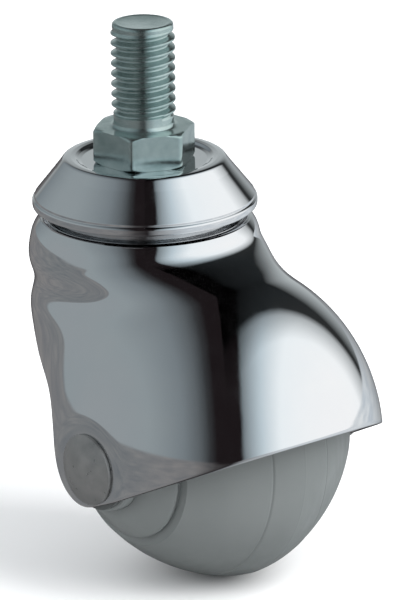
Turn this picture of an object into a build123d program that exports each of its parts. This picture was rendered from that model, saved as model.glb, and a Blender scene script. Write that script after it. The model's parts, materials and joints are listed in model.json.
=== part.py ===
"""Chair caster with a hooded ball wheel and a threaded stem.

Frame: millimetres, +Z up along the swivel axis, origin on the hexagon's top face, where the chair's
leg seats. +X is the trailing direction, from the swivel axis to the wheel's axle, and the axle runs
along Y. The wheel stands on the floor below.
"""

from build123d import *
from math import cos, radians, sin, sqrt
import os

# Driving dimensions
THREAD_MAJOR = 11.1  # 7/16 in unified coarse stud
THREAD_PITCH = 25.4 / 14
STUD_LENGTH = 18.5
HEX_ACROSS_FLATS = 15.875
HEX_HEIGHT = 6.1
HEX_TURN = 5.7  # degrees from +X to a corner
WHEEL_DIAMETER = 50.0
TRAIL = 17.4  # swivel axis to wheel axle
AXLE_DROP = 51.9  # seat face to wheel axle
COWL_RADIUS = 31.4  # outside of the ball-shaped cowl, about the axle
COWL_HALF_WIDTH = 28.3  # where the cowl's sides would close, along the axle
SHEET = 1.3  # hood wall
CAP_SHEET = 1.5
EAR_HALF_WIDTH = 27.4  # outside of the flat ears
KINGPIN_RADIUS = 4.5
AXLE_RADIUS = 4.0
RUNNING_GAP = 0.05  # radial, on the axle and in the hood's holes
BALL_GAP = 0.1  # between a ball and its race, radial

# Heights along the swivel axis
CAP_FLOOR = -HEX_HEIGHT
CAP_RIM = -5.4
CAP_LIP = -13.0
CAP_BOTTOM = -14.2
HOOD_RIM = -16.0
HOOD_PLATE = -17.0
PLATE_UNDERSIDE = HOOD_PLATE - SHEET
CONE_BOTTOM = -23.0
WASHER_BOTTOM = -24.2
KINGPIN_END = -26.4

# Ball rings
UPPER_BALL_RADIUS = 2.25
UPPER_RING_RADIUS = 13.0
UPPER_BALL_HEIGHT = -13.5
UPPER_BALL_COUNT = 17
LOWER_BALL_RADIUS = 1.5
LOWER_RING_RADIUS = 8.6
LOWER_BALL_HEIGHT = -20.6
LOWER_BALL_COUNT = 16

# Wheel
WHEEL_RADIUS = WHEEL_DIAMETER / 2
WHEEL_HALF_WIDTH = 26.4  # where the crowned profile would close
CROWN_POWER = 1.65  # shape of the crowned profile
BAND_HALF_WIDTH = 6.0  # fine joint line each side of the middle
STEP_START = 18.3  # the step ring between the tyre and the hub disc
STEP_END = 19.5
BOSS_RADIUS = 8.0
BOSS_FACE = 24.9
BUSH_WALL = 1.4

AXLE_CENTRE = (TRAIL, 0, -AXLE_DROP)
AXLE_PLANE = Plane(origin=AXLE_CENTRE, x_dir=(1, 0, 0), z_dir=(0, -1, 0))
PROFILE_PLANE = Plane(origin=AXLE_CENTRE, x_dir=(0, 1, 0), z_dir=(1, 0, 0))
AXLE_AXIS = Axis(AXLE_CENTRE, (0, 1, 0))

os.makedirs("parts", exist_ok=True)


def save(piece, name):
    """Label a finished piece and write its STEP file."""
    piece.label = name
    export_step(piece, f"parts/{name}.step")


def crown(y):
    """Radius of the wheel's crowned outside at a distance y from its middle."""
    return WHEEL_RADIUS * (1 - (abs(y) / WHEEL_HALF_WIDTH) ** CROWN_POWER) ** (1 / CROWN_POWER)


def axle_ring(inner, outer, near, far):
    """A plain ring on the axle, from the near side's y to the far side's y."""
    with BuildPart() as ring:
        with BuildSketch(AXLE_PLANE.offset(-near)):
            Circle(outer)
            Circle(inner, mode=Mode.SUBTRACT)
        extrude(amount=near - far)
    return ring.part


def race(section, ring_radius, ball_height, groove_radius):
    """A race ring: a turned section with the balls' groove cut in it."""
    with BuildPart() as ring:
        with BuildSketch(Plane.XZ):
            with BuildLine():
                Polyline(*section, close=True)
            make_face()
            with Locations((ring_radius, ball_height)):
                Circle(groove_radius, mode=Mode.SUBTRACT)
        revolve(axis=Axis.Z)
    return ring.part


# ---------------------------------------------------------------- stem, fixed to the chair

MAJOR_RADIUS = THREAD_MAJOR / 2
LAND_RADIUS = 5.45  # plain lands at the tip and at the neck
THREAD_DEPTH = 0.6134 * THREAD_PITCH
MINOR_RADIUS = MAJOR_RADIUS - THREAD_DEPTH
CREST_FLAT = THREAD_PITCH / 8
ROOT_WIDTH = THREAD_PITCH * 0.86
NECK_LENGTH = 1.6
TIP_LAND = 1.0
THREAD_START = NECK_LENGTH + ROOT_WIDTH / 2
THREAD_TURNS = (STUD_LENGTH - TIP_LAND - NECK_LENGTH - ROOT_WIDTH) / THREAD_PITCH

with BuildPart() as stem:
    # the kingpin and its riveted-over end
    with BuildSketch(Plane.XY.offset(KINGPIN_END)):
        Circle(KINGPIN_RADIUS)
    extrude(amount=-KINGPIN_END - HEX_HEIGHT / 2)
    with BuildSketch(Plane.XY.offset(KINGPIN_END)):
        Circle(6.4)
    extrude(amount=WASHER_BOTTOM - KINGPIN_END)
    chamfer(stem.edges().sort_by(Axis.Z)[0], 0.9)
    # the hexagon, with its corners turned down at both ends
    with BuildSketch(Plane.XY.offset(-HEX_HEIGHT)):
        RegularPolygon(HEX_ACROSS_FLATS / 2, 6, major_radius=False, rotation=HEX_TURN)
    extrude(amount=HEX_HEIGHT)
    with BuildSketch(Plane.XZ):
        corner = HEX_ACROSS_FLATS / 2 / cos(radians(30))
        for seat, away in ((0, -1), (-HEX_HEIGHT, 1)):
            with BuildLine():
                Polyline(
                    (corner - 1.4, seat),
                    (corner + 1, seat),
                    (corner + 1, seat + away * 1.4),
                    close=True,
                )
            make_face()
    revolve(axis=Axis.Z, mode=Mode.SUBTRACT)
    # the stud: core, plain neck and plain tip
    with BuildSketch(Plane.XY):
        Circle(MINOR_RADIUS)
    extrude(amount=STUD_LENGTH)
    with BuildSketch(Plane.XY):
        Circle(LAND_RADIUS)
    extrude(amount=NECK_LENGTH)
    with BuildSketch(Plane.XY.offset(STUD_LENGTH - TIP_LAND)):
        Circle(LAND_RADIUS)
    extrude(amount=TIP_LAND)
    chamfer(stem.edges().sort_by(Axis.Z)[-1], 0.5)

with BuildPart() as ridge:
    with BuildLine() as turns:
        Helix(
            pitch=THREAD_PITCH,
            height=THREAD_TURNS * THREAD_PITCH,
            radius=MINOR_RADIUS,
            center=(0, 0, THREAD_START),
        )
    with BuildSketch(Plane(origin=turns.line @ 0, x_dir=(1, 0, 0), z_dir=turns.line % 0)):
        with BuildLine():
            Polyline(
                (-0.15, -ROOT_WIDTH / 2),
                (THREAD_DEPTH, -CREST_FLAT / 2),
                (THREAD_DEPTH, CREST_FLAT / 2),
                (-0.15, ROOT_WIDTH / 2),
                close=True,
            )
        make_face()
    sweep(is_frenet=True)

with BuildPart() as threaded_stem:
    add(stem.part)
    add(ridge.part)
save(threaded_stem.part, "threaded_stem")

# ---------------------------------------------------------------- cap, fixed to the stem

with BuildPart() as bearing_cap:
    with BuildSketch(Plane.XZ):
        with BuildLine():
            Polyline(
                (KINGPIN_RADIUS, CAP_FLOOR),
                (11.2, CAP_FLOOR),
                (12.5, CAP_RIM),
                (13.5, CAP_RIM),
                (19.5, CAP_LIP),
                (19.5, CAP_BOTTOM),
                (18.2, CAP_BOTTOM),
                (18.2, CAP_LIP - 0.6),
                (13.0, CAP_FLOOR - CAP_SHEET),
                (KINGPIN_RADIUS, CAP_FLOOR - CAP_SHEET),
                close=True,
            )
        make_face()
    revolve(axis=Axis.Z)
    circles = bearing_cap.edges().filter_by(GeomType.CIRCLE)
    fillet(circles.filter_by_position(Axis.Z, CAP_RIM - 0.01, CAP_RIM + 0.01), 0.45)
    circles = bearing_cap.edges().filter_by(GeomType.CIRCLE)
    fillet(circles.filter_by_position(Axis.Z, CAP_BOTTOM - 0.01, CAP_BOTTOM + 0.01), 0.4)
save(bearing_cap.part, "bearing_cap")

cap_race = race(
    [(10.2, -7.6), (12.4, -7.6), (15.2, -10.9), (15.2, -12.0), (10.2, -12.0)],
    UPPER_RING_RADIUS,
    UPPER_BALL_HEIGHT,
    UPPER_BALL_RADIUS + BALL_GAP,
)
save(cap_race, "cap_race")

lower_cone = race(
    [
        (KINGPIN_RADIUS, CONE_BOTTOM),
        (11.2, CONE_BOTTOM),
        (11.2, -21.2),
        (5.6, -21.2),
        (KINGPIN_RADIUS, -20.4),
    ],
    LOWER_RING_RADIUS,
    LOWER_BALL_HEIGHT,
    LOWER_BALL_RADIUS + BALL_GAP,
)
save(lower_cone, "lower_cone")

with BuildPart() as kingpin_washer:
    with BuildSketch(Plane.XY.offset(WASHER_BOTTOM)):
        Circle(8.2)
        Circle(KINGPIN_RADIUS, mode=Mode.SUBTRACT)
    extrude(amount=CONE_BOTTOM - WASHER_BOTTOM)
save(kingpin_washer.part, "kingpin_washer")

# ---------------------------------------------------------------- the two rings of balls

RINGS = (
    ("upper", UPPER_BALL_COUNT, UPPER_BALL_RADIUS, UPPER_RING_RADIUS, UPPER_BALL_HEIGHT),
    ("lower", LOWER_BALL_COUNT, LOWER_BALL_RADIUS, LOWER_RING_RADIUS, LOWER_BALL_HEIGHT),
)

for ring_name, count, ball_radius, ring_radius, height in RINGS:
    for number in range(count):
        turn = radians(360 * number / count)
        with BuildPart() as ball:
            with Locations((ring_radius * cos(turn), ring_radius * sin(turn), height)):
                Sphere(ball_radius)
        save(ball.part, f"{ring_name}_ball_{number + 1:02d}")

# ---------------------------------------------------------------- hood and what turns with it

DRUM_TOP_RADIUS = 18.2
DRUM_TOP_INSIDE = 18.3
DRUM_SIDE = (  # (radius, height) down the outside of the waisted drum
    (19.3, -17.6),
    (20.0, -19.8),
    (20.2, -23.4),
    (19.4, -26.6),
    (20.0, -30.4),
    (19.8, -34.8),
    (18.7, -40.3),
    (16.9, -47.5),
)
DISH_RADIUS = 17.1
KINGPIN_HOLE = 6.0
OPENING = (  # (x, height) down the open front and round under the ears to the brim
    (-21.0, -25.2),
    (-14.5, -29.5),
    (-7.0, -38.0),
    (1.5, -42.6),
    (6.2, -48.0),
    (8.3, -54.5),
    (11.0, -57.9),
    (15.0, -59.3),
    (20.0, -57.9),
    (25.0, -55.8),
)
BRIM_SLOPE = 0.485  # rise of the brim towards the back
BRIM_END = (OPENING[-1][0] + 30, OPENING[-1][1] + 30 * BRIM_SLOPE)
UNDER = -90  # below everything


def hood_form(wall, top, top_radius):
    """The hood as a solid inside a wall: a waisted drum run into the ball cowl, with flat ears."""
    with BuildPart() as form:
        with BuildSketch(Plane.XZ):
            side = [(radius - wall, height) for radius, height in DRUM_SIDE if height < top]
            with BuildLine():
                Spline((top_radius, top), *side)
                Polyline(side[-1], (0, side[-1][1]), (0, top), (top_radius, top))
            make_face()
        revolve(axis=Axis.Z)
        with BuildSketch(PROFILE_PLANE):
            Ellipse(COWL_HALF_WIDTH - wall, COWL_RADIUS - wall)
            Rectangle(
                2 * COWL_HALF_WIDTH,
                COWL_RADIUS,
                align=(Align.CENTER, Align.MIN),
                mode=Mode.INTERSECT,
            )
        revolve(axis=AXLE_AXIS)
        with Locations(AXLE_CENTRE):
            Box(200, 2 * (EAR_HALF_WIDTH - wall), 200, mode=Mode.INTERSECT)
    return form.part


with BuildPart() as hood:
    add(hood_form(0, HOOD_RIM, DRUM_TOP_RADIUS))
    add(hood_form(SHEET, PLATE_UNDERSIDE, DRUM_TOP_INSIDE), mode=Mode.SUBTRACT)
    # the dish in the top that the upper race ring sits in, and the hole round the kingpin
    with BuildSketch(Plane.XY.offset(HOOD_PLATE)):
        Circle(DISH_RADIUS)
    extrude(amount=5, mode=Mode.SUBTRACT)
    with BuildSketch(Plane.XY.offset(PLATE_UNDERSIDE - 1)):
        Circle(KINGPIN_HOLE)
    extrude(amount=5, mode=Mode.SUBTRACT)
    # the open front, the ears' rounded ends and the brim, which rises towards the back
    with BuildSketch(Plane.XZ):
        with BuildLine():
            Spline(*OPENING, tangents=((1, -0.2), (1, BRIM_SLOPE)))
            Polyline(
                OPENING[-1],
                BRIM_END,
                (BRIM_END[0], UNDER),
                (-40, UNDER),
                (-40, OPENING[0][1]),
                OPENING[0],
            )
        make_face()
    extrude(amount=40, both=True, mode=Mode.SUBTRACT)
    # the rivet's holes in the ears
    with BuildSketch(AXLE_PLANE):
        Circle(AXLE_RADIUS + RUNNING_GAP)
    extrude(amount=40, both=True, mode=Mode.SUBTRACT)
save(hood.part, "hood")

upper_race_ring = race(
    [
        (10.4, HOOD_PLATE),
        (16.5, HOOD_PLATE),
        (16.5, -13.4),
        (15.7, -13.4),
        (15.7, -14.6),
        (10.4, -14.6),
    ],
    UPPER_RING_RADIUS,
    UPPER_BALL_HEIGHT,
    UPPER_BALL_RADIUS + BALL_GAP,
)
save(upper_race_ring, "upper_race_ring")

lower_race = race(
    [
        (KINGPIN_HOLE, PLATE_UNDERSIDE),
        (11.4, PLATE_UNDERSIDE),
        (11.4, -20.0),
        (KINGPIN_HOLE, -20.0),
    ],
    LOWER_RING_RADIUS,
    LOWER_BALL_HEIGHT,
    LOWER_BALL_RADIUS + BALL_GAP,
)
save(lower_race, "lower_race")

HEAD_RADIUS = 6.2
HEAD_HEIGHT = 2.2
FORMED_RADIUS = 5.6
FORMED_HEIGHT = 1.7
HEAD_EDGE = 0.5  # straight edge below each head's dome
WASHER_THICKNESS = 0.8


def dome(height, radius):
    """Crown, halfway and rim points of a head's dome, as (height above the face, radius)."""
    rise = height - HEAD_EDGE
    sphere = (radius**2 + rise**2) / (2 * rise)
    halfway = height - sphere + sqrt(sphere**2 - (radius / 2) ** 2)
    return [(height, 0), (halfway, radius / 2), (HEAD_EDGE, radius)]


near_face = -EAR_HALF_WIDTH
far_face = EAR_HALF_WIDTH + WASHER_THICKNESS
near_dome = [(near_face - rise, radius) for rise, radius in dome(HEAD_HEIGHT, HEAD_RADIUS)]
far_dome = [(far_face + rise, radius) for rise, radius in dome(FORMED_HEIGHT, FORMED_RADIUS)]

with BuildPart() as axle_rivet:
    with BuildSketch(PROFILE_PLANE):
        with BuildLine():
            ThreePointArc(*near_dome)
            Polyline(
                near_dome[-1],
                (near_face, HEAD_RADIUS),
                (near_face, AXLE_RADIUS),
                (far_face, AXLE_RADIUS),
                (far_face, FORMED_RADIUS),
                far_dome[-1],
            )
            ThreePointArc(*far_dome)
            Line(far_dome[0], near_dome[0])
        make_face()
    revolve(axis=AXLE_AXIS)
save(axle_rivet.part, "axle_rivet")

HOLE_RADIUS = AXLE_RADIUS + RUNNING_GAP
rivet_washer = axle_ring(HOLE_RADIUS, 7.2, EAR_HALF_WIDTH, EAR_HALF_WIDTH + WASHER_THICKNESS)
save(rivet_washer, "rivet_washer")

EAR_INSIDE = EAR_HALF_WIDTH - SHEET
save(
    axle_ring(HOLE_RADIUS, 7.4, -EAR_INSIDE, -EAR_INSIDE + WASHER_THICKNESS),
    "near_thrust_washer",
)
save(
    axle_ring(HOLE_RADIUS, 7.4, EAR_INSIDE - WASHER_THICKNESS, EAR_INSIDE),
    "far_thrust_washer",
)

# ---------------------------------------------------------------- wheel

TYRE_INNER_RADIUS = 20.0
TYRE_SHOULDER = 13.2
BUSH_RADIUS = HOLE_RADIUS + BUSH_WALL


def crown_curve(start, end):
    """Points on the crowned outside between two distances from the middle."""
    steps = 6
    return [(y, crown(y)) for y in (start + (end - start) * k / steps for k in range(steps + 1))]


with BuildPart() as tyre:
    with BuildSketch(PROFILE_PLANE):
        with BuildLine():
            Spline(*crown_curve(BAND_HALF_WIDTH, STEP_START))
            Line((STEP_START, crown(STEP_START)), (STEP_START, TYRE_SHOULDER))
            Line((STEP_START, TYRE_SHOULDER), (12.0, TYRE_INNER_RADIUS - 3.0))
            Line((12.0, TYRE_INNER_RADIUS - 3.0), (8.0, TYRE_INNER_RADIUS))
            Line((8.0, TYRE_INNER_RADIUS), (-8.0, TYRE_INNER_RADIUS))
            Line((-8.0, TYRE_INNER_RADIUS), (-12.0, TYRE_INNER_RADIUS - 3.0))
            Line((-12.0, TYRE_INNER_RADIUS - 3.0), (-STEP_START, TYRE_SHOULDER))
            Line((-STEP_START, TYRE_SHOULDER), (-STEP_START, crown(STEP_START)))
            Spline(*crown_curve(-STEP_START, -BAND_HALF_WIDTH))
            ThreePointArc(
                (-BAND_HALF_WIDTH, crown(BAND_HALF_WIDTH)),
                (0, WHEEL_RADIUS),
                (BAND_HALF_WIDTH, crown(BAND_HALF_WIDTH)),
            )
        make_face()
    revolve(axis=AXLE_AXIS)
save(tyre.part, "tyre")

with BuildPart() as wheel_core:
    with BuildSketch(PROFILE_PLANE):
        with BuildLine():
            Polyline(
                (-BOSS_FACE, BUSH_RADIUS),
                (-BOSS_FACE, BOSS_RADIUS - 0.6),
                (-BOSS_FACE + 0.6, BOSS_RADIUS),
                (-2.2, BOSS_RADIUS),
                (-2.2, TYRE_SHOULDER),
                (-STEP_START + 0.2, TYRE_SHOULDER - 1.9),
                (-STEP_START, TYRE_SHOULDER),
                (-12.0, TYRE_INNER_RADIUS - 3.0),
                (-8.0, TYRE_INNER_RADIUS),
                (8.0, TYRE_INNER_RADIUS),
                (12.0, TYRE_INNER_RADIUS - 3.0),
                (STEP_START, TYRE_SHOULDER),
                (STEP_START - 0.2, TYRE_SHOULDER - 1.9),
                (2.2, TYRE_SHOULDER),
                (2.2, BOSS_RADIUS),
                (BOSS_FACE - 0.6, BOSS_RADIUS),
                (BOSS_FACE, BOSS_RADIUS - 0.6),
                (BOSS_FACE, BUSH_RADIUS),
                close=True,
            )
        make_face()
    revolve(axis=AXLE_AXIS)
save(wheel_core.part, "wheel_core")

for disc_name, side in (("near_hub_disc", -1), ("far_hub_disc", 1)):
    with BuildPart() as hub_disc:
        with BuildSketch(PROFILE_PLANE):
            with BuildLine():
                Polyline(
                    (side * STEP_START, TYRE_SHOULDER),
                    (side * STEP_START, crown(STEP_END)),
                    (side * STEP_END, crown(STEP_END)),
                    (side * 22.8, BOSS_RADIUS),
                    (side * 20.6, BOSS_RADIUS),
                    (side * (STEP_START - 0.2), TYRE_SHOULDER - 1.9),
                    close=True,
                )
            make_face()
        revolve(axis=AXLE_AXIS)
    save(hub_disc.part, disc_name)

axle_bush = axle_ring(HOLE_RADIUS, BUSH_RADIUS, -BOSS_FACE, BOSS_FACE)
save(axle_bush, "axle_bush")
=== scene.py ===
import json
import math

import bmesh
import bpy
import numpy as np
from mathutils import Matrix, Vector


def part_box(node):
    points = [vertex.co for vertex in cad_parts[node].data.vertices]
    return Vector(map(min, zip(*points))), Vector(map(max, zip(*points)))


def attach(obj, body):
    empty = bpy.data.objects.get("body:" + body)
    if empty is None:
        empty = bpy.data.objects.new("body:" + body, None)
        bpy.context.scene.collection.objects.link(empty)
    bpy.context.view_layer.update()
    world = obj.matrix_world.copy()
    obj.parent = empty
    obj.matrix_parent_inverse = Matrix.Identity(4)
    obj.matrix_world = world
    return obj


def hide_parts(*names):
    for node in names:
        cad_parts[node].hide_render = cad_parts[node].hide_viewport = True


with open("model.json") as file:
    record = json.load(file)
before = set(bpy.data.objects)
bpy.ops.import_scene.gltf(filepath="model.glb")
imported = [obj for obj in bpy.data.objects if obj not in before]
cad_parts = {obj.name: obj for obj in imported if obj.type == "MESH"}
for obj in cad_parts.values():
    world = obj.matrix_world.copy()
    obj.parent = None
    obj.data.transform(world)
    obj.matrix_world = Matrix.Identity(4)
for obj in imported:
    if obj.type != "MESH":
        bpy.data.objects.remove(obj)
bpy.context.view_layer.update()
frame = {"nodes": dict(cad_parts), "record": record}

MM = 0.001
TRAIL, AXLE_Z = 17.4, -51.9  # the axle, in mm
FLOOR_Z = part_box("tyre")[0].z
VIEW_TURN = math.radians(50.307)  # the camera stands this far round from -Y towards +X
VIEW_FALL = math.radians(18.241)  # and looks down by this much
VIEW_ROLL = math.radians(-0.611)


# ---------------------------------------------------------------- meshes

def mesh_object(name, points, faces, sharp=32):
    """A smooth-shaded mesh object from points in mm, with edges sharper than an angle kept crisp."""
    mesh = bpy.data.meshes.new(name)
    mesh.from_pydata([tuple(p) for p in np.asarray(points, float) * MM], [], faces)
    mesh.validate()
    mesh.shade_smooth()
    mesh.set_sharp_from_angle(angle=math.radians(sharp))
    piece = bpy.data.objects.new(name, mesh)
    bpy.context.scene.collection.objects.link(piece)
    return piece


def grid_faces(rows, columns, wrap_rows=False, flip=False):
    """Quads of a grid whose columns run round and close, stored row by row."""
    faces = []
    for i in range(rows if wrap_rows else rows - 1):
        below = (i + 1) % rows
        for j in range(columns):
            right = (j + 1) % columns
            quad = (i * columns + j, i * columns + right, below * columns + right, below * columns + j)
            faces.append(quad[::-1] if flip else quad)
    return faces


def rounded(corners, radii, steps=5, closed=True):
    """A section's corners with each one rounded off by its radius."""
    points = []
    count = len(corners)
    for k in range(count):
        here = np.array(corners[k], float)
        radius = radii[k] if isinstance(radii, (list, tuple)) else radii
        ends = not closed and k in (0, count - 1)
        if radius <= 0 or ends:
            points.append(tuple(here))
            continue
        before = np.array(corners[k - 1], float) - here
        after = np.array(corners[(k + 1) % count], float) - here
        la, lb = np.linalg.norm(before), np.linalg.norm(after)
        u, v = before / la, after / lb
        half = math.acos(max(-1.0, min(1.0, float(u @ v)))) / 2
        reach = min(radius / max(math.tan(half), 1e-3), la * 0.48, lb * 0.48)
        start, stop = here + u * reach, here + v * reach
        for s in range(steps + 1):
            t = s / steps
            points.append(tuple((1 - t) ** 2 * start + 2 * t * (1 - t) * here + t**2 * stop))
    return points


def turned(name, section, axis="swivel", segments=144, closed=True, sharp=32):
    """A ring or disc turned about the swivel axis (radius, height) or the axle (radius, y)."""
    angles = np.linspace(0, 2 * math.pi, segments, endpoint=False)
    rows = []
    for radius, along in section:
        if axis == "swivel":
            rows.append(np.c_[radius * np.cos(angles), radius * np.sin(angles), np.full(segments, along)])
        else:
            rows.append(np.c_[TRAIL + radius * np.cos(angles), np.full(segments, along),
                              AXLE_Z + radius * np.sin(angles)])
    points = np.concatenate(rows)
    area = 0.0
    for k in range(len(section)):
        (r0, h0), (r1, h1) = section[k], section[(k + 1) % len(section)]
        area += r0 * h1 - r1 * h0
    flip = (area > 0) if axis == "swivel" else (area < 0)
    faces = grid_faces(len(section), segments, wrap_rows=closed, flip=flip)
    piece = mesh_object(name, points, faces, sharp)
    if not closed:
        weld(piece)
    return piece


def weld(piece):
    """Joins the points that lie together, where a section meets its axis."""
    work = bmesh.new()
    work.from_mesh(piece.data)
    bmesh.ops.remove_doubles(work, verts=work.verts, dist=2e-7)
    work.to_mesh(piece.data)
    work.free()


# ---------------------------------------------------------------- hood

DRUM = np.array([(16.9, -47.5), (18.7, -40.3), (19.8, -34.8), (20.0, -30.4), (19.4, -26.6),
                 (20.2, -23.4), (20.0, -19.8), (19.3, -17.6), (18.2, -16.0)])
COWL_RADIUS, COWL_HALF_WIDTH, EAR, SHEET = 31.4, 28.3, 27.4, 1.3
OPENING = np.array([(-21.0, -25.2), (-14.5, -29.5), (-7.0, -38.0), (1.5, -42.6), (6.2, -48.0),
                    (8.3, -54.5), (11.0, -57.9), (15.0, -59.3), (20.0, -57.9), (25.0, -55.8)])
BRIM_SLOPE = 0.485
HEART = np.array([8.0, 0.0, -36.0])  # every point of the hood is in plain sight of this one


def spline_table(x, y, start=None, end=None):
    """Second derivatives of a cubic spline through the points, natural or with given end slopes."""
    n = len(x)
    a, rhs = np.zeros((n, n)), np.zeros(n)
    h = np.diff(x)
    for i in range(1, n - 1):
        a[i, i - 1:i + 2] = h[i - 1], 2 * (h[i - 1] + h[i]), h[i]
        rhs[i] = 6 * ((y[i + 1] - y[i]) / h[i] - (y[i] - y[i - 1]) / h[i - 1])
    a[0, 0] = a[-1, -1] = 1
    if start is not None:
        a[0, :2] = 2 * h[0], h[0]
        rhs[0] = 6 * ((y[1] - y[0]) / h[0] - start)
    if end is not None:
        a[-1, -2:] = h[-1], 2 * h[-1]
        rhs[-1] = 6 * (end - (y[-1] - y[-2]) / h[-1])
    return np.linalg.solve(a, rhs)


def spline(x, y, m, q):
    k = np.clip(np.searchsorted(x, q) - 1, 0, len(x) - 2)
    h = x[k + 1] - x[k]
    a, b = (x[k + 1] - q) / h, (q - x[k]) / h
    return a * y[k] + b * y[k + 1] + ((a**3 - a) * m[k] + (b**3 - b) * m[k + 1]) * h**2 / 6


DRUM_M = spline_table(DRUM[:, 1], DRUM[:, 0])
chord = np.concatenate([[0], np.cumsum(np.linalg.norm(np.diff(OPENING, axis=0), axis=1))])
MX = spline_table(chord, OPENING[:, 0])
MZ = spline_table(chord, OPENING[:, 1], start=-0.2, end=BRIM_SLOPE / math.hypot(1, BRIM_SLOPE))
fine = np.linspace(0, chord[-1], 500)
CUT = np.c_[spline(chord, OPENING[:, 0], MX, fine), spline(chord, OPENING[:, 1], MZ, fine)]


def smooth_min(a, b, k):
    h = np.clip(0.5 + 0.5 * (b - a) / k, 0, 1)
    return b + (a - b) * h - k * h * (1 - h)


def hood_field(p):
    """Distance-like field of the hood's outside: negative inside."""
    x, y, z = p[..., 0], p[..., 1], p[..., 2]
    zz = np.clip(z, DRUM[0, 1], DRUM[-1, 1])
    drum = np.hypot(x, y) - spline(DRUM[:, 1], DRUM[:, 0], DRUM_M, zz)
    drum = np.maximum(drum, DRUM[0, 1] - 8 - z)
    dx, dz = x - TRAIL, z - AXLE_Z
    q = np.sqrt((dx / COWL_RADIUS) ** 2 + (y / COWL_HALF_WIDTH) ** 2 + (dz / COWL_RADIUS) ** 2)
    g = np.sqrt((dx / COWL_RADIUS**2) ** 2 + (y / COWL_HALF_WIDTH**2) ** 2 + (dz / COWL_RADIUS**2) ** 2)
    cowl = q * (q - 1) / np.maximum(g, 1e-6)
    cowl = -smooth_min(-cowl, EAR - np.abs(y), 0.5)
    # the drum runs into the cowl in a wide hollow that tightens towards the rim
    share = np.clip((DRUM[-1, 1] - z) / 6.0, 0, 1)
    return smooth_min(drum, cowl, 1.5 + 6.5 * share * share * (3 - 2 * share))


def hood_surface(direction):
    """Where rays from the heart leave the hood."""
    near, far = np.full(direction.shape[:-1], 8.0), np.full(direction.shape[:-1], 60.0)
    for _ in range(34):
        middle = (near + far) / 2
        inside = hood_field(HEART + middle[..., None] * direction) < 0
        near, far = np.where(inside, middle, near), np.where(inside, far, middle)
    return HEART + far[..., None] * direction


def below_cut(p):
    """Positive where a point lies in the open front or below the brim."""
    x, z = p[..., 0], p[..., 2]
    d2 = (x[..., None] - CUT[:, 0]) ** 2 + (z[..., None] - CUT[:, 1]) ** 2
    k = np.clip(np.argmin(d2, axis=-1), 1, len(CUT) - 2)
    along = CUT[k + 1] - CUT[k - 1]
    side = along[..., 1] * (x - CUT[k, 0]) - along[..., 0] * (z - CUT[k, 1])
    brim = (OPENING[-1, 1] + BRIM_SLOPE * (x - OPENING[-1, 0])) - z
    return np.where(x > OPENING[-1, 0], brim, side / np.linalg.norm(along, axis=-1))


def sweep_directions(theta, phi):
    return np.stack([np.cos(phi) * np.cos(theta), np.cos(phi) * np.sin(theta), np.sin(phi)], -1)


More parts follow.
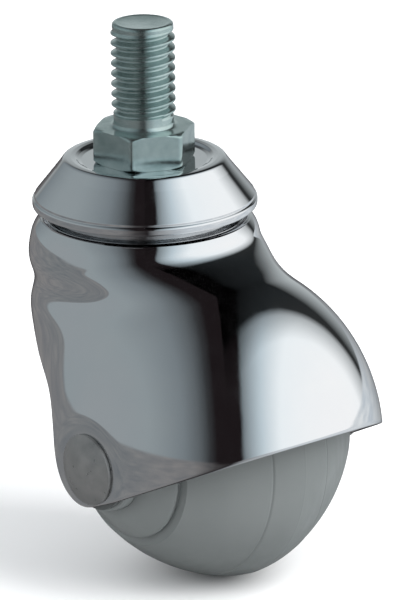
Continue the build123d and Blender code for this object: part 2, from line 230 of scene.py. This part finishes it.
def build_hood():
    columns, rows = 432, 110
    base = np.linspace(-math.pi, math.pi, 4001)
    # more columns where the ears' front edges run nearly straight down
    density = 1 + 5 * np.exp(-((np.abs(base) - math.radians(91.5)) / math.radians(7)) ** 2)
    share = np.concatenate([[0], np.cumsum((density[1:] + density[:-1]) / 2)])
    theta = np.interp(np.arange(columns) / columns, share / share[-1], base)
    # the rim: where each column meets the hood's top plane
    low, high = np.zeros(columns), np.full(columns, 1.4)
    for _ in range(34):
        middle = (low + high) / 2
        under = hood_surface(sweep_directions(theta, middle))[:, 2] < DRUM[-1, 1]
        low, high = np.where(under, middle, low), np.where(under, high, middle)
    top = low
    # the edge: going down from the rim, the first place where the column is cut away
    scan = np.linspace(0, 1, 160)
    phi = top[:, None] + (-1.35 - top[:, None]) * scan
    cut = below_cut(hood_surface(sweep_directions(theta[:, None], phi))) > 0
    first = np.maximum(np.argmax(cut, axis=1), 1)
    index = np.arange(columns)
    kept, gone = phi[index, first - 1], phi[index, first]
    for _ in range(30):
        middle = (kept + gone) / 2
        away = below_cut(hood_surface(sweep_directions(theta, middle))) > 0
        kept, gone = np.where(away, kept, middle), np.where(away, middle, gone)
    edge = kept
    steps = np.linspace(0, 1, rows)
    phi = top[None, :] + (edge - top)[None, :] * steps[:, None]
    skin = hood_surface(sweep_directions(theta[None, :], phi))
    # even out the rows along each column
    length = np.concatenate([np.zeros((1, columns)),
                             np.cumsum(np.linalg.norm(np.diff(skin, axis=0), axis=-1), axis=0)])
    for j in range(columns):
        phi[:, j] = np.interp(steps * length[-1, j], length[:, j], phi[:, j])
    skin = hood_surface(sweep_directions(theta[None, :], phi))
    e = 0.01
    normal = np.stack([hood_field(skin + np.eye(3)[k] * e) - hood_field(skin - np.eye(3)[k] * e)
                       for k in range(3)], -1)
    normal /= np.linalg.norm(normal, axis=-1, keepdims=True)
    n, last = normal[-1], skin[-1]
    tangent = np.roll(last, -1, 0) - np.roll(last, 1, 0)
    tangent /= np.linalg.norm(tangent, axis=-1, keepdims=True)
    out = np.cross(n, tangent)
    out /= np.linalg.norm(out, axis=-1, keepdims=True)
    out *= np.sign(((last - skin[-4]) * out).sum(-1, keepdims=True))
    round_off = 0.4
    rim_rows = []
    for depth, turn in [(round_off, 0), (SHEET - round_off, 1)]:
        for s in range(5):
            a = math.radians(90 * s / 4)
            if turn == 0:
                offset = n * (math.cos(a) * round_off - depth) + out * (math.sin(a) - 1) * round_off
            else:
                offset = -n * (math.sin(a) * round_off + depth) + out * (math.cos(a) - 1) * round_off
            rim_rows.append(last + offset)
    outer = skin.copy()
    # ease the last rows back so that the rounded edge starts on the skin
    for k, share_back in ((-1, 1.0), (-2, 0.62), (-3, 0.3)):
        outer[k] = outer[k] - out * round_off * share_back
    inner = (skin - normal * SHEET)[:-1][::-1]
    inner[..., 2] = np.minimum(inner[..., 2], -17.0 - SHEET)
    ring = np.arctan2(skin[0, :, 1], skin[0, :, 0])
    around = np.stack([np.cos(ring), np.sin(ring)], -1)

    def lap(radius, height):
        return np.c_[around * radius, np.full(columns, height)]

    top_plate = [(6.0, -18.3), (6.0, -17.15), (6.15, -17.0), (16.9, -17.0), (17.05, -16.85)]
    rolled_rim = [(17.1, -16.3), (17.15, -16.12), (17.4, -16.0), (17.7, -15.98), (17.95, -16.02),
                  (18.1, -16.12)]
    outer[0] = lap(18.33, -16.3)
    stack = [lap(r, h) for r, h in top_plate + rolled_rim] + list(outer) + rim_rows[1:-1] + list(inner)
    points = np.concatenate(stack)
    faces = grid_faces(len(stack), columns, wrap_rows=True)
    return mesh_object("hood_shell", points, faces, sharp=40)


def pierce(piece, radius):
    """Cuts the rivet's holes through both ears."""
    bpy.ops.mesh.primitive_cylinder_add(vertices=64, radius=radius * MM, depth=0.08,
                                        location=(TRAIL * MM, 0, AXLE_Z * MM), rotation=(math.pi / 2, 0, 0))
    drill = bpy.context.active_object
    cut = piece.modifiers.new("holes", "BOOLEAN")
    cut.operation, cut.solver, cut.object = "DIFFERENCE", "EXACT", drill
    bpy.context.view_layer.update()
    result = bpy.data.meshes.new_from_object(piece.evaluated_get(bpy.context.evaluated_depsgraph_get()))
    piece.modifiers.clear()
    piece.data = result
    bpy.data.objects.remove(drill)
    result.shade_smooth()
    result.set_sharp_from_angle(angle=math.radians(40))


# ---------------------------------------------------------------- stem

PITCH, MAJOR, MINOR = 25.4 / 14, 5.55, 4.5
HEX_ACROSS, HEX_DEPTH, HEX_TURN = 15.875, 6.1, math.radians(5.7)
NECK = 5.2


def build_stem():
    """The one-piece stem: kingpin, hexagon, neck and rolled thread, from the bottom up."""
    columns = 192
    angles = np.linspace(0, 2 * math.pi, columns, endpoint=False)
    rows = []

    def ring(radius, height):
        rows.append(np.c_[radius * np.cos(angles), radius * np.sin(angles), np.broadcast_to(height, columns)])

    # kingpin's formed end, kingpin
    formed_end = [(0.0, -26.4), (4.6, -26.4), (5.5, -26.2), (6.15, -25.75), (6.4, -25.2), (6.4, -24.2)]
    for radius, height in formed_end + [(4.5, -24.2), (4.5, -HEX_DEPTH)]:
        ring(np.full(columns, radius), height)
    # hexagon with its corners turned down
    hexagon = HEX_ACROSS / 2 / np.cos((angles - HEX_TURN) % math.radians(60) - math.radians(30))
    corner = HEX_ACROSS / 2 / math.cos(math.radians(30))
    hexagon = np.minimum(hexagon, corner - 0.1)
    lower = np.linspace(-HEX_DEPTH, -4.9, 9)
    middle = np.linspace(-4.5, -1.4, 5)
    upper = np.linspace(-1.2, 0, 13)
    for height in np.concatenate([lower, middle, upper]):
        cone = corner - 0.85 + min(-height, height + HEX_DEPTH) * 2.4 / 1.4
        ring(smooth_min(hexagon, np.full(columns, cone), 0.3), height)
    for radius, height in ((7.55, 0.0), (6.2, 0.0), (5.75, 0.04), (5.42, 0.2), (5.25, 0.5), (NECK, 0.9)):
        ring(np.full(columns, radius), height)
    # thread
    for height in np.linspace(1.5, 17.75, 230):
        phase = ((height / PITCH - angles / (2 * math.pi)) % 1.0) - 0.5
        climb = np.clip((np.abs(phase) - 0.06) / 0.36, 0, 1)
        form = MAJOR - (MAJOR - MINOR) * (0.55 * climb + 0.45 * climb * climb * (3 - 2 * climb))
        start = np.clip((height - 1.7 - 0.5 * angles / (2 * math.pi)) / 1.0, 0, 1)
        finish = np.clip((17.55 - height) / 1.1, 0, 1)
        start, finish = start * start * (3 - 2 * start), finish * finish * (3 - 2 * finish)
        radius = NECK + (form - NECK) * start
        ring(5.29 + (radius - 5.29) * finish, height)
    tip = [(5.29, 17.95), (5.24, 18.15), (5.08, 18.34), (4.85, 18.44), (4.6, 18.46), (4.35, 18.4),
           (4.15, 18.36)]
    for radius, height in tip + [(0.0, 18.36)]:
        ring(np.full(columns, radius), height)
    piece = mesh_object("stem_threaded", np.concatenate(rows), grid_faces(len(rows), columns), sharp=50)
    weld(piece)
    piece.data.set_sharp_from_angle(angle=math.radians(50))
    return piece


# ---------------------------------------------------------------- wheel sections

def crown(y):
    """Radius of the ball-shaped wheel at a distance y from its middle."""
    return 25.0 * (1 - (abs(y) / 26.4) ** 1.65) ** (1 / 1.65)


def tyre_section():
    """Tyre section from the near step ring over the top to the far one, with its fine lines."""
    ys = sorted(set(np.round(np.concatenate([np.linspace(-18.1, 18.1, 119), np.linspace(-6.4, -5.6, 9),
                                             np.linspace(5.6, 6.4, 9), np.linspace(-0.5, 0.5, 9)]), 4)))
    points = []
    for y in ys:
        radius = crown(y)
        radius -= 0.13 * math.exp(-((abs(y) - 6.0) / 0.16) ** 2)
        radius -= 0.09 * (1 / (1 + math.exp(-(abs(y) - 6.0) / 0.07)))
        radius += 0.03 * math.exp(-(y / 0.14) ** 2) - 0.03
        points.append((radius, y))
    edge = crown(18.1)
    shoulder = [(edge - 0.25, 18.28), (edge - 0.6, 18.3), (13.25, 18.3), (17.0, 12.0), (20.0, 8.0)]
    inside = shoulder + [(r, -y) for r, y in shoulder[::-1]]
    return points + inside


def disc_section(side):
    """Hub disc: a smooth face whose rounded shoulder drops into a groove beside the tyre."""
    heights = np.concatenate([np.linspace(18.34, 19.7, 13), [20.2, 20.9, 21.6, 22.3]])
    face = [(crown(y) - 0.5 - 1.35 * math.exp(-((y - 18.3) / 0.62) ** 2), y) for y in heights]
    outline = [(13.2, 18.3), (face[0][0] - 0.05, 18.3)] + face
    outline += [(8.4, 22.85), (8.02, 22.8), (8.02, 20.6), (11.3, 18.15)]
    return [(r, side * y) for r, y in outline]


def move(piece, body, nodes, material):
    """Gives a piece its material, and puts it on its body in place of its CAD nodes."""
    piece.data.materials.clear()
    piece.data.materials.append(material)
    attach(piece, body)
    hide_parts(*nodes)


# ---------------------------------------------------------------- materials

def new_material(name):
    material = bpy.data.materials.new(name)
    material.use_nodes = True
    nodes, links = material.node_tree.nodes, material.node_tree.links
    nodes.clear()
    shader = nodes.new("ShaderNodeBsdfPrincipled")
    output = nodes.new("ShaderNodeOutputMaterial")
    links.new(shader.outputs["BSDF"], output.inputs["Surface"])
    place = nodes.new("ShaderNodeTexCoord")
    return material, nodes, links, shader, place.outputs["Object"]


def noise(nodes, links, place, scale, detail=4.0, stretch=None, roughness=0.55):
    node = nodes.new("ShaderNodeTexNoise")
    node.inputs["Scale"].default_value = scale
    node.inputs["Detail"].default_value = detail
    node.inputs["Roughness"].default_value = roughness
    if stretch:
        mapping = nodes.new("ShaderNodeMapping")
        mapping.inputs["Scale"].default_value = stretch
        links.new(place, mapping.inputs["Vector"])
        place = mapping.outputs["Vector"]
    links.new(place, node.inputs["Vector"])
    return node.outputs["Fac"]


def ramp(nodes, links, source, stops):
    node = nodes.new("ShaderNodeValToRGB")
    while len(node.color_ramp.elements) < len(stops):
        node.color_ramp.elements.new(0.5)
    for element, (at, colour) in zip(node.color_ramp.elements, stops):
        element.position = at
        element.color = (*colour, 1)
    links.new(source, node.inputs["Fac"])
    return node.outputs["Color"]


def remap(nodes, links, source, low, high, start=0.0, stop=1.0):
    node = nodes.new("ShaderNodeMapRange")
    for key, value in (("From Min", start), ("From Max", stop), ("To Min", low), ("To Max", high)):
        node.inputs[key].default_value = value
    links.new(source, node.inputs["Value"])
    return node.outputs["Result"]


def bump(nodes, links, shader, source, strength, distance):
    node = nodes.new("ShaderNodeBump")
    node.inputs["Strength"].default_value = strength
    node.inputs["Distance"].default_value = distance
    links.new(source, node.inputs["Height"])
    previous = shader.inputs["Normal"].links
    if previous:
        links.new(previous[0].from_socket, node.inputs["Normal"])
    links.new(node.outputs["Normal"], shader.inputs["Normal"])


def chrome(name, tone=0.78):
    material, nodes, links, shader, place = new_material(name)
    shader.inputs["Metallic"].default_value = 1.0
    cloud = noise(nodes, links, place, 90, 3)
    tones = ramp(nodes, links, cloud, [(0.3, (tone * 0.965, tone * 0.98, tone)),
                                       (0.7, (tone, tone * 1.005, tone * 1.015))])
    links.new(tones, shader.inputs["Base Color"])
    polish = noise(nodes, links, place, 420, 3, stretch=(1, 1, 0.12))
    links.new(remap(nodes, links, polish, 0.035, 0.085, 0.35, 0.7), shader.inputs["Roughness"])
    ripple = noise(nodes, links, place, 55, 2)
    bump(nodes, links, shader, ripple, 0.10, 0.0006)
    scratch = noise(nodes, links, place, 900, 4, stretch=(1, 1, 0.05))
    bump(nodes, links, shader, scratch, 0.05, 0.00006)
    return material


def metal(name, dark, light, roughness, grain=700, wear=0.35, metallic=1.0, relief=1.0):
    material, nodes, links, shader, place = new_material(name)
    shader.inputs["Metallic"].default_value = metallic
    cloud = noise(nodes, links, place, 260, 6)
    links.new(ramp(nodes, links, cloud, [(0.3, dark), (0.7, light)]), shader.inputs["Base Color"])
    blotch = noise(nodes, links, place, grain, 5)
    links.new(remap(nodes, links, blotch, roughness * (1 - wear), roughness * (1 + wear), 0.3, 0.7),
              shader.inputs["Roughness"])
    bump(nodes, links, shader, blotch, 0.25 * relief, 0.00012)
    pits = noise(nodes, links, place, grain * 2.6, 3)
    bump(nodes, links, shader, pits, 0.15 * relief, 0.00004)
    return material


def plastic(name, dark, light, roughness, sheen=0.35):
    material, nodes, links, shader, place = new_material(name)
    cloud = noise(nodes, links, place, 60, 5)
    links.new(ramp(nodes, links, cloud, [(0.3, dark), (0.7, light)]), shader.inputs["Base Color"])
    shader.inputs["Specular IOR Level"].default_value = sheen
    rub = noise(nodes, links, place, 240, 5, stretch=(1, 2.5, 1))
    links.new(remap(nodes, links, rub, roughness * 0.85, roughness * 1.15, 0.3, 0.7),
              shader.inputs["Roughness"])
    skin = noise(nodes, links, place, 2600, 3)
    bump(nodes, links, shader, skin, 0.12, 0.00004)
    scuff = noise(nodes, links, place, 500, 5, stretch=(1, 0.15, 1))
    bump(nodes, links, shader, scuff, 0.08, 0.00005)
    return material


CHROME = chrome("chrome_plate")
ZINC = metal("zinc_passivated", (0.335, 0.440, 0.430), (0.50, 0.60, 0.588), 0.18,
             wear=0.3, metallic=0.96, relief=0.3)
RACE = metal("race_steel", (0.52, 0.53, 0.54), (0.62, 0.63, 0.64), 0.16)
BALL = chrome("ball_steel", 0.66)
RIVET = metal("rivet_steel", (0.15, 0.155, 0.157), (0.27, 0.27, 0.265), 0.40,
              grain=520, wear=0.4, metallic=0.65)
TYRE = plastic("grey_tyre", (0.122, 0.134, 0.133), (0.140, 0.152, 0.151), 0.42)
HUB = plastic("grey_plastic", (0.122, 0.134, 0.133), (0.144, 0.156, 0.155), 0.40)
BUSH = plastic("bush_plastic", (0.055, 0.060, 0.060), (0.075, 0.080, 0.080), 0.38)

# ---------------------------------------------------------------- pieces

hood = build_hood()
pierce(hood, 4.05)
move(hood, "swivel_head", ["hood"], CHROME)

stem = build_stem()
move(stem, "stem_assembly", ["threaded_stem"], ZINC)

cap_corners = [(4.55, -6.12), (10.9, -6.12), (11.5, -5.9), (12.0, -5.55), (12.75, -5.42), (13.9, -5.5),
               (15.3, -7.4), (19.08, -12.2), (19.12, -12.62), (19.5, -12.9), (19.5, -14.2), (18.2, -14.2),
               (18.2, -13.6),
               (13.0, -7.6), (4.55, -7.6)]
cap_radii = [0, 0.8, 0.6, 0.5, 1.2, 3.4, 4.0, 0.2, 0.15, 0.45, 0.5, 0.3, 0.3, 0.5, 0]
cap = turned("cap_shell", rounded(cap_corners, cap_radii, steps=7), segments=288)
move(cap, "stem_assembly", ["bearing_cap"], CHROME)

upper_ring = turned("upper_race_lip", rounded(
    [(10.4, -17.0), (16.5, -17.0), (16.5, -13.4), (15.7, -13.4), (15.7, -14.6), (10.4, -14.6)],
    [0, 0.2, 0.3, 0.3, 0.2, 0.2]), segments=192)
move(upper_ring, "swivel_head", ["upper_race_ring"], RACE)


def head_section(height, radius, face, side):
    """One head of the rivet, from its crown to the face it bears on."""
    rise = height - 0.5
    sphere = (radius**2 + rise**2) / (2 * rise)
    arc = []
    for k in range(17):
        r = radius * k / 16
        h = height - sphere + math.sqrt(sphere**2 - r**2)
        arc.append((r, side * (face + h)))
    arc[-1] = (radius - 0.06, side * (face + 0.56))
    return arc + [(radius, side * (face + 0.42)), (radius, side * (face + 0.1)), (radius - 0.08, side * face)]


near = head_section(2.2, 6.2, 27.4, -1)
far = head_section(1.7, 5.6, 28.2, 1)
shank = [(4.0, -27.4), (4.0, 28.2)]
rivet = turned("rivet_shank", near + shank + far[::-1], axis="axle", closed=False, segments=96)
move(rivet, "swivel_head", ["axle_rivet"], RIVET)

washer_section = [(4.05, 27.4), (7.2, 27.4), (7.2, 28.2), (4.05, 28.2)]
washer = turned("rivet_washer_ring", rounded(washer_section, 0.15, steps=3), axis="axle")
move(washer, "swivel_head", ["rivet_washer"], RIVET)

tyre = turned("tyre_tread", tyre_section(), axis="axle", segments=240)
move(tyre, "wheel", ["tyre"], TYRE)

for disc_name, side in (("near_hub_disc", -1), ("far_hub_disc", 1)):
    disc = turned(disc_name + "_face", disc_section(side), axis="axle", segments=192)
    move(disc, "wheel", [disc_name], HUB)

# the wheel's core is the same on both sides, so half of its section is given
core_half = [(5.45, 24.9), (8.0, 24.9), (8.0, 2.2), (13.2, 2.2), (11.3, 18.1), (13.2, 18.3), (17.0, 12.0),
             (20.0, 8.0)]
core_radii = [0.2, 0.7] + [0] * 6
core_corners = [(r, -y) for r, y in core_half] + core_half[::-1]
core_section = rounded(core_corners, core_radii + core_radii[::-1])
core = turned("wheel_core_boss", core_section, axis="axle", segments=144)
move(core, "wheel", ["wheel_core"], HUB)

FINISH = {"chrome": CHROME, "zinc_plate": ZINC, "race_steel": RACE, "ball_steel": BALL, "rivet_steel": RIVET,
          "grey_tyre": TYRE, "grey_plastic": HUB, "bush_plastic": BUSH}
slots = {part["node"]: part["material_slot"] for part in frame["record"]["subparts"]}
for node_name, node in frame["nodes"].items():
    node.data.materials.clear()
    node.data.materials.append(FINISH[slots[node_name]])

# ---------------------------------------------------------------- studio

def seen_by(azimuth, elevation, distance):
    """A point in the studio: azimuth to the right of the camera's side, elevation above the floor."""
    a, e = math.radians(azimuth), math.radians(elevation)
    forward = Vector((math.sin(VIEW_TURN), -math.cos(VIEW_TURN), 0))
    right = Vector((math.cos(VIEW_TURN), math.sin(VIEW_TURN), 0))
    flat = forward * math.cos(a) + right * math.sin(a)
    return (flat * math.cos(e) + Vector((0, 0, math.sin(e)))) * distance


def area(name, azimuth, elevation, width, height, power, colour=(1, 1, 1), distance=1.5):
    light = bpy.data.lights.new(name, "AREA")
    light.shape = "RECTANGLE"
    light.size, light.size_y, light.energy, light.color = width, height, power, colour
    lamp = bpy.data.objects.new(name, light)
    bpy.context.scene.collection.objects.link(lamp)
    centre = seen_by(azimuth, elevation, distance)
    lamp.matrix_world = Matrix.Translation(centre) @ centre.to_track_quat("Z", "Y").to_matrix().to_4x4()
    lamp.visible_camera = lamp.visible_glossy = False


floor_mesh = bpy.data.meshes.new("floor")
reach = 6.0
floor_mesh.from_pydata([(-reach, -reach, FLOOR_Z), (reach, -reach, FLOOR_Z), (reach, reach, FLOOR_Z),
                        (-reach, reach, FLOOR_Z)], [], [(0, 1, 2, 3)])
floor = bpy.data.objects.new("floor", floor_mesh)
bpy.context.scene.collection.objects.link(floor)
floor_material, nodes, links, shader, place = new_material("floor_paper")
paper = noise(nodes, links, place, 18, 3)
paper_tones = ramp(nodes, links, paper, [(0.3, (0.90, 0.90, 0.90)), (0.7, (0.93, 0.93, 0.93))])
links.new(paper_tones, shader.inputs["Base Color"])
shader.inputs["Roughness"].default_value = 0.9
shader.inputs["Specular IOR Level"].default_value = 0.1
floor_mesh.materials.append(floor_material)
floor.visible_glossy = False


def build_world():
    """Plain soft light for the room, and what polished metal sees of the studio: a grey wall on the left,
    a bright tent on the right, a dark gap between them and a grey table."""
    world = bpy.data.worlds.new("studio")
    bpy.context.scene.world = world
    world.use_nodes = True
    nodes, links = world.node_tree.nodes, world.node_tree.links
    nodes.clear()

    def maths(operation, first, second):
        node = nodes.new("ShaderNodeMath")
        node.operation = operation
        for socket, value in zip(node.inputs, (first, second)):
            if isinstance(value, (int, float)):
                socket.default_value = value
            else:
                links.new(value, socket)
        return node.outputs[0]

    direction = nodes.new("ShaderNodeTexCoord")
    turn = nodes.new("ShaderNodeVectorRotate")
    turn.rotation_type = "Z_AXIS"
    turn.inputs["Angle"].default_value = -VIEW_TURN
    links.new(direction.outputs["Generated"], turn.inputs["Vector"])
    split = nodes.new("ShaderNodeSeparateXYZ")
    links.new(turn.outputs["Vector"], split.inputs["Vector"])
    right, front, up = split.outputs["X"], maths("MULTIPLY", split.outputs["Y"], -1), split.outputs["Z"]
    across = remap(nodes, links, right, 0, 1, -1, 1)
    walls = ramp(nodes, links, across, [
        (0.0, (0.300, 0.330, 0.345)), (0.10, (0.285, 0.325, 0.340)), (0.25, (0.195, 0.225, 0.242)),
        (0.33, (0.115, 0.131, 0.141)), (0.39, (0.036, 0.038, 0.041)), (0.43, (0.012, 0.009, 0.010)),
        (0.575, (0.012, 0.009, 0.010)),
        (0.596, (0.200, 0.235, 0.252)), (0.70, (0.55, 0.64, 0.69)), (0.81, (0.91, 0.96, 0.98)),
        (1.0, (1.0, 1.0, 1.0))])
    toward = remap(nodes, links, maths("ADD", right, maths("MULTIPLY", front, 0.6)), 0, 1, -0.5, 1.0)
    tent = ramp(nodes, links, toward, [(0.0, (0.03, 0.03, 0.03)), (0.45, (0.03, 0.03, 0.03)),
                                       (0.515, (0.5, 0.5, 0.5)), (0.70, (1, 1, 1))])
    gate = maths("MAXIMUM", tent, maths("LESS_THAN", right, 0))
    dim = nodes.new("ShaderNodeMix")
    dim.data_type, dim.blend_type = "RGBA", "MULTIPLY"
    dim.inputs["Factor"].default_value = 1.0
    links.new(walls, dim.inputs[6])
    links.new(gate, dim.inputs[7])
    table = ramp(nodes, links, across, [
        (0.0, (0.190, 0.200, 0.203)), (0.16, (0.215, 0.213, 0.212)), (0.30, (0.200, 0.196, 0.194)),
        (0.42, (0.060, 0.056, 0.056)),
        (0.52, (0.018, 0.015, 0.016)), (0.61, (0.26, 0.27, 0.275)), (0.85, (0.62, 0.66, 0.68)),
        (1.0, (0.70, 0.73, 0.74))])
    streaks = noise(nodes, links, turn.outputs["Vector"], 5.0, 3, stretch=(1, 1, 5))
    cloth = nodes.new("ShaderNodeMix")
    cloth.data_type, cloth.blend_type = "RGBA", "MULTIPLY"
    cloth.inputs["Factor"].default_value = 1.0
    links.new(table, cloth.inputs[6])
    streak_tones = ramp(nodes, links, streaks, [(0.3, (0.80, 0.83, 0.88)), (0.7, (1.16, 1.14, 1.13))])
    links.new(streak_tones, cloth.inputs[7])
    horizon = nodes.new("ShaderNodeMix")
    horizon.data_type = "RGBA"
    links.new(remap(nodes, links, up, 0.0, 1.0, -0.04, -0.015), horizon.inputs["Factor"])
    links.new(cloth.outputs[2], horizon.inputs[6])
    # the pale backdrop behind the object, which the flat tops see
    backdrop = nodes.new("ShaderNodeMix")
    backdrop.data_type, backdrop.blend_type = "RGBA", "LIGHTEN"
    backdrop.inputs["Factor"].default_value = 1.0
    behind = remap(nodes, links, front, 0, 1, -0.78, -1.0)
    links.new(dim.outputs[2], backdrop.inputs[6])
    behind_tones = ramp(nodes, links, behind, [(0.0, (0.0, 0.0, 0.0)), (1.0, (0.48, 0.52, 0.53))])
    links.new(behind_tones, backdrop.inputs[7])
    links.new(backdrop.outputs[2], horizon.inputs[7])
    studio = nodes.new("ShaderNodeBackground")
    links.new(horizon.outputs[2], studio.inputs["Color"])
    studio.inputs["Strength"].default_value = 1.15
    room = nodes.new("ShaderNodeBackground")
    room.inputs["Color"].default_value = (0.96, 0.98, 1.0, 1)
    room.inputs["Strength"].default_value = 0.8
    path = nodes.new("ShaderNodeLightPath")
    mix = nodes.new("ShaderNodeMixShader")
    sky = nodes.new("ShaderNodeOutputWorld")
    links.new(path.outputs["Is Glossy Ray"], mix.inputs["Fac"])
    links.new(room.outputs["Background"], mix.inputs[1])
    links.new(studio.outputs["Background"], mix.inputs[2])
    links.new(mix.outputs["Shader"], sky.inputs["Surface"])


build_world()
area("key", 62, 38, 1.1, 1.3, 32, (1.0, 1.0, 1.0))
area("fill", -60, 40, 1.6, 1.6, 9, (0.95, 0.98, 1.0))

# ---------------------------------------------------------------- camera

lens = bpy.data.cameras.new("camera")
lens.lens = 360.0
lens.sensor_width = 36.0
lens.sensor_fit = "AUTO"
lens.clip_start = 0.05
lens.clip_end = 20.0
camera = bpy.data.objects.new("camera", lens)
bpy.context.scene.collection.objects.link(camera)
turn = (Matrix.Rotation(VIEW_TURN, 4, "Z") @ Matrix.Rotation(math.radians(90) - VIEW_FALL, 4, "X")
        @ Matrix.Rotation(VIEW_ROLL, 4, "Z"))
camera.matrix_world = Matrix.Translation((0.769235, -0.626096, 0.294945)) @ turn
bpy.context.scene.camera = camera
bpy.context.scene.view_settings.view_transform = "Standard"
